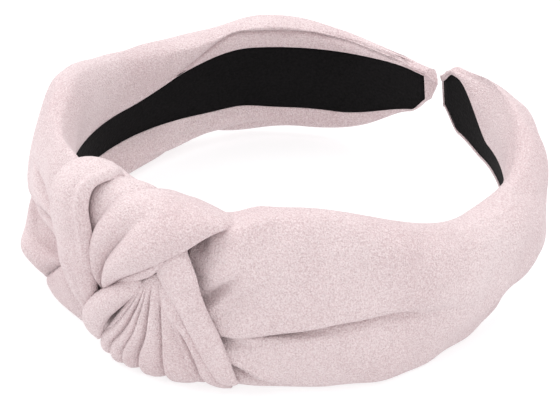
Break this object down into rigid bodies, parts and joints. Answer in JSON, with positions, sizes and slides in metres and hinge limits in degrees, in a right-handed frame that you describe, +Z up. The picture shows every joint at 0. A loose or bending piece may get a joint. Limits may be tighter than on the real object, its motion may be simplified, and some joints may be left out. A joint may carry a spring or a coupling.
{
  "type": "knotted headband",
  "caption": "Cloth-covered springy headband with a lined inner face, puffed padded arms and a wide tied knot to one side of the crown.",
  "frame": {"origin": "middle of the whole band's outline on the surface it lies on", "axes": "+Z up through the hoop, -Y towards the crown, +Y towards the gap between the tips, +X towards the arm nearer the knot"},
  "size_m": [0.1526, 0.148, 0.061],
  "materials": {
    "cover_cloth": "dusty blush crepe weave, soft satin sheen",
    "lining_cloth": "near-black matt brushed ribbon",
    "wadding": "off-white soft polyester wadding",
    "core_plastic": "translucent white moulded plastic, matt"
  },
  "bodies": {
    "crown": {"core_crown": "core_plastic", "lining_crown": "lining_cloth", "padding_left_front": "wadding", "padding_right_front": "wadding", "cover_left_front": "cover_cloth", "cover_right_front": "cover_cloth", "knot_heart": "cover_cloth", "knot_left_strap": "cover_cloth", "knot_under_fold": "cover_cloth", "knot_upper_fold": "cover_cloth", "knot_gathered_fold": "cover_cloth", "knot_right_strap": "cover_cloth"},
    "left_arm": {"core_left_arm": "core_plastic", "lining_left_arm": "lining_cloth", "padding_left_arm": "wadding", "cover_left_arm": "cover_cloth", "left_tip_fold": "cover_cloth"},
    "right_arm": {"core_right_arm": "core_plastic", "lining_right_arm": "lining_cloth", "padding_right_arm": "wadding", "cover_right_arm": "cover_cloth", "right_tip_fold": "cover_cloth"}
  },
  "joints": [
    {"name": "left_arm_flex", "type": "hinge", "parent": "crown", "child": "left_arm", "pos_m": [-0.05791, -0.02082, 0.022], "axis": [0, 0, 1], "range_deg": [-1, 14], "stiffness_Nm_per_rad": 0.6},
    {"name": "right_arm_flex", "type": "hinge", "parent": "crown", "child": "right_arm", "pos_m": [0.05791, -0.02082, 0.022], "axis": [0, 0, -1], "range_deg": [-1, 14], "stiffness_Nm_per_rad": 0.6}
  ]
}
